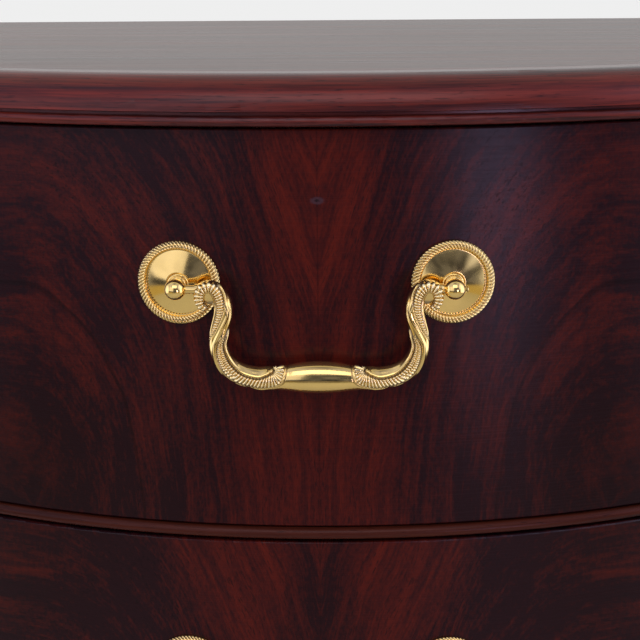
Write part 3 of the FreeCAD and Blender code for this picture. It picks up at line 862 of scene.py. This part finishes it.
def relief(line, places, share, sizes):
    """Height of the bands, grooves and lip over the plain tube, and how sunken each point is: above
    zero the brass takes painted shade with some patina, below zero a painted highlight.
    """
    pitch, depth, rib_crown = sizes.rib_pitch / MM, sizes.rib_depth / MM, sizes.rib_crown / MM
    columns = np.split(line, line.shape[1], axis=1)
    x, z, half, _, upper_low, upper_high, lower_low, lower_high, ridge = columns
    place = places[:, None]
    on_neck = place > NECK_START
    across = share * half
    height = np.zeros_like(share)
    sunken = np.zeros_like(share)
    down = (share + 1) / 2
    leaf_end = LEAF_X - LEAF_LEAN * down - LEAF_SWEEP * down ** LEAF_POWER
    slope = (LEAF_LEAN + LEAF_SWEEP * LEAF_POWER * down ** (LEAF_POWER - 1)) / (2 * half)
    from_end = (x - leaf_end) / np.hypot(1, slope)
    on_leaf = 1 - smooth_step(-0.1, 0.1, from_end)

    # Ribs counted along the line and, past the lower band's tip, round it
    steps = np.diff(places) / (pitch * np.interp(places[1:], *RIB_PITCHES))
    count = np.concatenate([[0], np.cumsum(steps)])[:, None]
    past = np.maximum(x - TIP_X, 0)
    from_tip = across - TIP_SHARE * half
    round_tip = (np.hypot(past / TIP_LENGTH, from_tip / (0.2 * half)) - 1) * TIP_LENGTH
    fan = np.arctan2(past, from_tip) * (past > 0)
    level = place > LEVEL_START
    tip_count = float(np.interp(TIP_X, x[level], count[level]))
    fan_count = np.where(past > 0, tip_count + TIP_RIBS * fan, count)
    off_lobe = np.where(past > 0, round_tip, across - lower_low * half)

    # The two bands. The lower one's ribs slant, and up the neck they stand in two rows. Painted shade
    # darkens the valleys, the seam and the grooves, and a painted highlight pales the crests.
    double = 1 - smooth_step(-31.5, -29.5, x)
    for low, high, from_low, ribs, slant in (
            (upper_low, upper_high, across - upper_low * half, count, 0.0),
            (lower_low, lower_high, off_lobe, fan_count, 0.35)):
        from_high = high * half - across
        wide = smooth_step(0.1, 0.5, (high - low) * half / 2) * on_leaf
        inside = smooth_step(0, 0.2, from_low) * smooth_step(0, 0.2, from_high) * wide
        inside = inside * smooth_step(-0.75, -0.95, from_end)
        middle = (from_low - from_high) / 2
        lean = slant * middle / pitch * (1 - smooth_step(TIP_X - 3, TIP_X, x))
        split = double * (slant > 0)
        strand = np.abs(np.sin(math.pi * (ribs + lean + 0.5 * split * (middle > 0))))
        seam = split * bump_at(middle, SEAM_WIDTH)
        side = np.clip(np.abs(2 * middle / np.maximum(from_low + from_high, 0.3)), 0, 1)
        crown = 1 - side ** 2 * (1 - split) - (2 * side - 1) ** 2 * split
        height += inside * (depth * (strand ** 0.8 - 0.68) - SEAM_DEPTH * seam
                            + rib_crown * (crown - 0.4))
        # Painted shade in the valleys and the seam, painted highlight on the crests
        sunken += inside * (0.8 * (1 - strand) ** 2.2 + 0.5 * seam - 0.9 * strand ** 3)
        for gap in (from_low, from_high):
            groove = bump_at(gap, GROOVE_WIDTH) * wide
            lips = bump_at(np.abs(gap) - 0.48, 0.26) * wide * (1 - inside)
            height += 0.18 * lips - GROOVE_DEPTH * groove
            # Painted shade in the grooves
            sunken += groove * 0.85

    # Ridge between the smooth lobes down the neck, and the fold where the lower band meets them.
    # Painted shade darkens the creases beside them.
    off_ridge = across - ridge * half
    neck = smooth_step(-3.0, -6.5, z) * on_neck
    height += neck * swells(off_ridge, RIDGE)
    sunken += neck * 0.35 * bump_at(off_ridge + 1.0, 0.4)
    lobe = smooth_step(8.5, 12, place) * smooth_step(-8.5, -6.5, z)
    height += lobe * swells(off_ridge, LOBES)
    sunken += lobe * 0.9 * bump_at(off_ridge, 0.2)
    fold = smooth_step(-11.5, -13.5, z) * on_neck * on_leaf
    height += fold * swells(off_lobe, FOLD)
    sunken += fold * bump_at(off_lobe, 0.36)

    # The leaf rises over the grip, with a lip round its end and a crease inside the lip. Painted shade
    # darkens the foot of the lip and the crease.
    inner = bump_at(from_end + 0.90, 0.18) * smooth_step(0.0, 0.3, off_lobe)
    height += LEAF_RISE * on_leaf * smooth_step(-25.0, -19.0, x)
    height += swells(from_end, LEAF_LIP) - 0.22 * inner
    sunken += 0.8 * bump_at(from_end - 0.15, 0.2) + 0.7 * inner
    return height, np.clip(sunken, -1, 1)


def bail_shell():
    """The swan necks and the swelling grip between them, as one skin. The scrolls are squarer in
    section than the rest, and the grip is a little flatter than it is high."""
    sizes = bpy.context.scene.chest_pull
    line, places = spline_through(BAIL_LINE, BAIL_RINGS)
    grip_x = np.linspace(line[-1, 0], 0, GRIP_RINGS + 1)[1:]
    full, flatter, rise = sizes.grip_diameter / MM / 2, 0.70, 0.25
    bulge = 1 - (grip_x / line[-1, 0]) ** 2
    grip = np.repeat(line[-1:], len(grip_x), 0)
    grip[:, 0] = grip_x
    grip[:, 1] += rise * bulge
    grip[:, 2] += (full - line[-1, 2]) * bulge
    grip[:, 3] += (full - flatter - line[-1, 3]) * bulge
    line = np.vstack([line, grip])
    places = np.concatenate([places, places[-1] + grip_x - grip_x[0] + 1])
    way = np.gradient(line[:, :2], axis=0)
    way /= np.linalg.norm(way, axis=1)[:, None]
    right = np.stack([way[:, 1], 0 * way[:, 0], -way[:, 0]], 1)
    front = np.array([0, -1.0, 0])
    turns = np.radians(np.concatenate([np.linspace(-15, 195, FRONT_COLUMNS, endpoint=False),
                                       np.linspace(195, 345, BACK_COLUMNS, endpoint=False)]))
    square = (1 - 0.38 * (1 - smooth_step(9, 17, places)))[:, None]
    share = np.sign(np.cos(turns)) * np.abs(np.cos(turns)) ** square
    ahead = np.sign(np.sin(turns)) * np.abs(np.sin(turns)) ** square
    height, sunken = relief(line, places, share, sizes)

    # Relief on the front only. Each point moves out by its height, square to the section's outline.
    faces_front = smooth_step(-0.25, 0.2, ahead)
    height, sunken = height * faces_front, sunken * faces_front
    half, deep = line[:, 2:3], line[:, 3:4]
    lean = 2 / square - 1
    across = np.sign(share) * np.abs(share) ** lean / half
    out = np.sign(ahead) * np.abs(ahead) ** lean / deep
    size = np.hypot(across, out)
    across, out = half * share + height * across / size, deep * ahead + height * out / size
    centre = np.stack([line[:, 0], 0 * line[:, 0], line[:, 1]], 1)[:, None, :]
    rings = centre + across[..., None] * right[:, None, :] + out[..., None] * front
    mirrored = rings[:-1][::-1] * np.array([-1, 1, 1])
    return skin(np.concatenate([rings, mirrored]), np.concatenate([sunken, sunken[:-1][::-1]]))


def bail_ends():
    """Hollow middle of each scroll and the pin from it through the ball, for both sides. The face round
    the hollow stands further out at its top."""
    sizes = bpy.context.scene.chest_pull
    half, ball = sizes.centres / MM / 2, sizes.ball_diameter / MM / 2
    tilt = 0.24
    hollow = [(0.01, -2.0)] + arc((2.1, -1.6), 0.4, -90, 0, 5) + [(2.55, -1.0), (2.6, 0.7)]
    hollow += arc((2.35, 0.55), 0.25, 0, 90, 5) + [(1.8, 0.80), (1.2, 0.80), (0.6, 0.80), (0.01, 0.80)]
    start, stop = -half - 3.5, HUB_X + 0.5
    pin = [(0.01, start)] + arc((0.6, start + 0.6), 0.6, -85, 0, 7)
    pin += [(1.2, -half - ball + 0.8), (1.2, -half), (1.6, -half + 0.5), (1.6, -half + ball + 1.6),
            (2.0, -half + ball + 2.0), (2.0, -half + ball + 3.6), (1.6, stop), (0.01, stop)]
    shells = []
    for side in (1, -1):
        verts, faces, depth = lathe(hollow, 48)
        verts[:, 2] += tilt * verts[:, 1] * (verts[:, 2] > 0)
        # Painted shade: the hollow is darkened all over, and most at its lower end, which lies in
        # shadow
        depth = 0.15 + 0.75 * smooth_step(-0.9, -1.9, verts[:, 1])
        axes = ((side, 0, 0),) + FORWARD[1:]
        shells.append(placed((verts, faces, depth), axes, (side * HUB_X, 0, HUB_Z)))
        shells.append(placed(lathe(pin, 40), ((0, 1, 0), (0, 0, 1), (side, 0, 0)), (0, 0, 0)))
    return shells


class CHEST_OT_make_bails(bpy.types.Operator):
    """Makes the swan-neck bail of each pull"""

    bl_idname = "chest.make_bails"
    bl_label = "Make Bails"

    def execute(self, context):
        mesh = mesh_of("bail", [bail_shell()] + bail_ends(), brass())
        add_to_drawers("bail", mesh, "bail_%d", context.scene.chest_pull.bail_aside)
        return {"FINISHED"}


# Stage

# Soft boxes: turn to the right of straight ahead in degrees, distance, height, size, radiance, colour
LAMPS = {
    "left_box": (-36, 1.9, 1.52, (1.65, 1.3), 0.82, (0.92, 0.92, 1.12)),
    "right_strip": (29, 2.0, 0.92, (0.36, 0.62), 6.0, (0.92, 0.80, 1.3)),
    "overhead": (0, 1.5, 2.5, (1.6, 1.0), 1.7, (1.0, 0.98, 1.0)),
}

# Room that shows in gloss
ROOM_DARK = (0.012, 0.016, 0.045, 1)
ROOM_LIT = (1.50, 1.58, 2.40, 1)
ROOM_FLOOR = (0.50, 0.41, 0.20, 1)
ROOM_SIDES = (1.85, 1.95, 2.70, 1)

FLOOR_SIDES = 96


def make_camera(context):
    """Camera at the photograph's place."""
    stage = context.scene.chest_stage
    camera = bpy.data.objects.new("camera", bpy.data.cameras.new("camera"))
    camera.data.sensor_width = 36.0
    camera.data.lens = stage.lens
    camera.data.clip_start, camera.data.clip_end = 0.01, 50.0
    level = math.cos(stage.pitch)
    ahead = Vector((math.sin(stage.yaw) * level, math.cos(stage.yaw) * level, -math.sin(stage.pitch)))
    right = Vector((math.cos(stage.yaw), -math.sin(stage.yaw), 0))
    up = right.cross(ahead)
    c, s = math.cos(stage.roll), math.sin(stage.roll)
    axes = Matrix((c * right + s * up, c * up - s * right, -ahead)).transposed().to_4x4()
    place = Vector((stage.aside, CROWN_Y - stage.distance, pull_place(1).z + stage.above))
    camera.matrix_world = Matrix.Translation(place) @ axes
    context.scene.collection.objects.link(camera)
    context.scene.camera = camera


def make_floor(context):
    """Round pale floor."""
    stage = context.scene.chest_stage
    f = Finish("floor")
    x, y, _ = f.place()
    speckle = f.noise((x, 3.0), (y, 3.0), 0.0, detail=3.0)
    colour = f.blend(speckle, (0.66, 0.66, 0.655, 1), (0.70, 0.70, 0.695, 1))
    material = f.finish(colour, 0.8, f.bump(speckle, 0.001, 0.1), specular=0.1)
    mesh = bpy.data.meshes.new("floor")
    rim = circle(even_turns(FLOOR_SIDES), stage.floor_radius, 0)
    mesh.from_pydata(rim.tolist(), [], [list(range(FLOOR_SIDES))])
    mesh.materials.append(material)
    floor = bpy.data.objects.new("floor", mesh)
    context.scene.collection.objects.link(floor)


def make_world(context):
    """Pale background and the same light from all round. In gloss, the side of the bowed front is a dim
    room with a lit floor, a pale ceiling, bright sides and a glow round the left lamp. Its x, y and z
    are those of the direction, so that z is -1 straight down and 1 straight up."""
    stage = context.scene.chest_stage
    f = Finish("studio", "worlds")
    context.scene.world = f.made
    rays = f.add("LightPath", {}).outputs
    x, y, z = f.add("SeparateXYZ", {0: f.add("TexCoord", {}).outputs["Generated"]}).outputs
    blotch = f.noise((x, 4.0), (y, 4.0), (z, 6.0), detail=3.0)
    glow = f.math("MULTIPLY", f.spread(x, -0.05, -0.45, 0.0, 0.13), f.spread(z, -0.19, -0.08))
    ceiling = f.math("MULTIPLY", f.spread(z, 0.22, 0.62, 0.0, 0.27), f.spread(z, 0.98, 0.90, 0.2, 1.0))
    right_wall = f.math("MULTIPLY", f.spread(x, 0.56, 0.74, 0.0, 0.60), f.spread(z, 0.03, 0.18))
    level = f.total(f.spread(blotch, 0.42, 0.62, 0.012, 0.11), glow, ceiling, right_wall)
    room = f.blend(level, ROOM_DARK, ROOM_LIT)
    ahead = f.math("MULTIPLY", f.spread(f.math("ABSOLUTE", x), 0.45, 0.22), f.spread(z, -0.68, -0.45))
    floor = f.math("MULTIPLY", f.spread(z, -0.27, -0.31), f.scaled(ahead, -0.75, 1.0))
    floor = f.math("MULTIPLY", floor, f.spread(z, -0.55, -0.85, 1.0, 0.62))
    room = f.blend(floor, room, ROOM_FLOOR)
    sides = f.math("MAXIMUM", f.spread(x, 0.79, 0.90, 0.0, 0.95), f.spread(x, -0.84, -0.93, 0.0, 0.80))
    room = f.blend(f.math("MULTIPLY", sides, f.spread(z, -0.62, -0.40)), room, ROOM_SIDES)

    # The camera, and gloss on the back of the chest, see the plain background
    behind = f.spread(f.math("ADD", f.scaled(y, 0.8), f.scaled(z, 0.3)), 0.0, 0.5)
    gloss = f.math("MAXIMUM", rays["Is Glossy Ray"], rays["Is Transmission Ray"])
    plain = f.math("MAXIMUM", rays["Is Camera Ray"], f.math("MULTIPLY", gloss, behind))
    colour = f.blend(gloss, (stage.ambient,) * 3 + (1,), room)
    colour = f.blend(plain, colour, tuple(stage.pale))
    background = f.add("Background", {"Color": colour, "Strength": 1.0})
    f.add("OutputWorld", {"Surface": background.outputs[0]})


def make_lamp(context, name, degrees, distance, height, size, radiance, colour):
    """Soft box aimed at the top pull."""
    target = Vector((0, CROWN_Y, pull_place(1).z))
    turn = math.radians(degrees)
    lamp = bpy.data.objects.new(name, bpy.data.lights.new(name, "AREA"))
    lamp.data.shape = "RECTANGLE"
    lamp.data.size, lamp.data.size_y = size
    lamp.data.energy = radiance * math.pi * size[0] * size[1]
    lamp.data.color = colour
    lamp.location = target + Vector((math.sin(turn) * distance, -math.cos(turn) * distance, 0))
    lamp.location.z = height
    lamp.rotation_euler = (lamp.location - target).to_track_quat("Z", "Y").to_euler()
    context.scene.collection.objects.link(lamp)


class CHEST_OT_set_stage(bpy.types.Operator):
    """Sets the camera, the soft light and the pale floor"""

    bl_idname = "chest.set_stage"
    bl_label = "Set Stage"

    def execute(self, context):
        make_camera(context)
        make_floor(context)
        make_world(context)
        for name, values in LAMPS.items():
            make_lamp(context, name, *values)
        context.scene.view_settings.view_transform = "Standard"
        return {"FINISHED"}


class CHEST_PT_panel(bpy.types.Panel):
    """Lists the chest's operators and settings."""

    bl_idname = "CHEST_PT_panel"
    bl_label = "Chest of Drawers"
    bl_space_type = "VIEW_3D"
    bl_region_type = "UI"
    bl_category = "Chest"

    def draw(self, context):
        for name in STEPS:
            self.layout.operator("chest." + name)
        for group in GROUPS:
            settings = getattr(context.scene, group)
            for key in settings.bl_rna.properties.keys():
                if key not in ("rna_type", "name"):
                    self.layout.prop(settings, key)


STEPS = ("set_stage", "lay_veneer", "finish_case", "finish_inside", "make_rosettes", "make_posts",
         "make_bails")
GROUPS = {"chest_pull": PullSizes, "chest_veneer": CrotchVeneer, "chest_woods": WoodColours,
          "chest_brass": BrassFinish, "chest_stage": StageSettings}
CLASSES = (CHEST_OT_set_stage, CHEST_OT_lay_veneer, CHEST_OT_finish_case, CHEST_OT_finish_inside,
           CHEST_OT_make_rosettes, CHEST_OT_make_posts, CHEST_OT_make_bails, CHEST_PT_panel)


def register():
    for name, group in GROUPS.items():
        bpy.utils.register_class(group)
        setattr(bpy.types.Scene, name, bpy.props.PointerProperty(type=group))
    for cls in CLASSES:
        bpy.utils.register_class(cls)


def unregister():
    for cls in reversed(CLASSES):
        bpy.utils.unregister_class(cls)
    for name, group in GROUPS.items():
        delattr(bpy.types.Scene, name)
        bpy.utils.unregister_class(group)


def main():
    register()
    for name in STEPS:
        getattr(bpy.ops.chest, name)()
    bpy.context.view_layer.update()


if __name__ == "__main__":
    main()
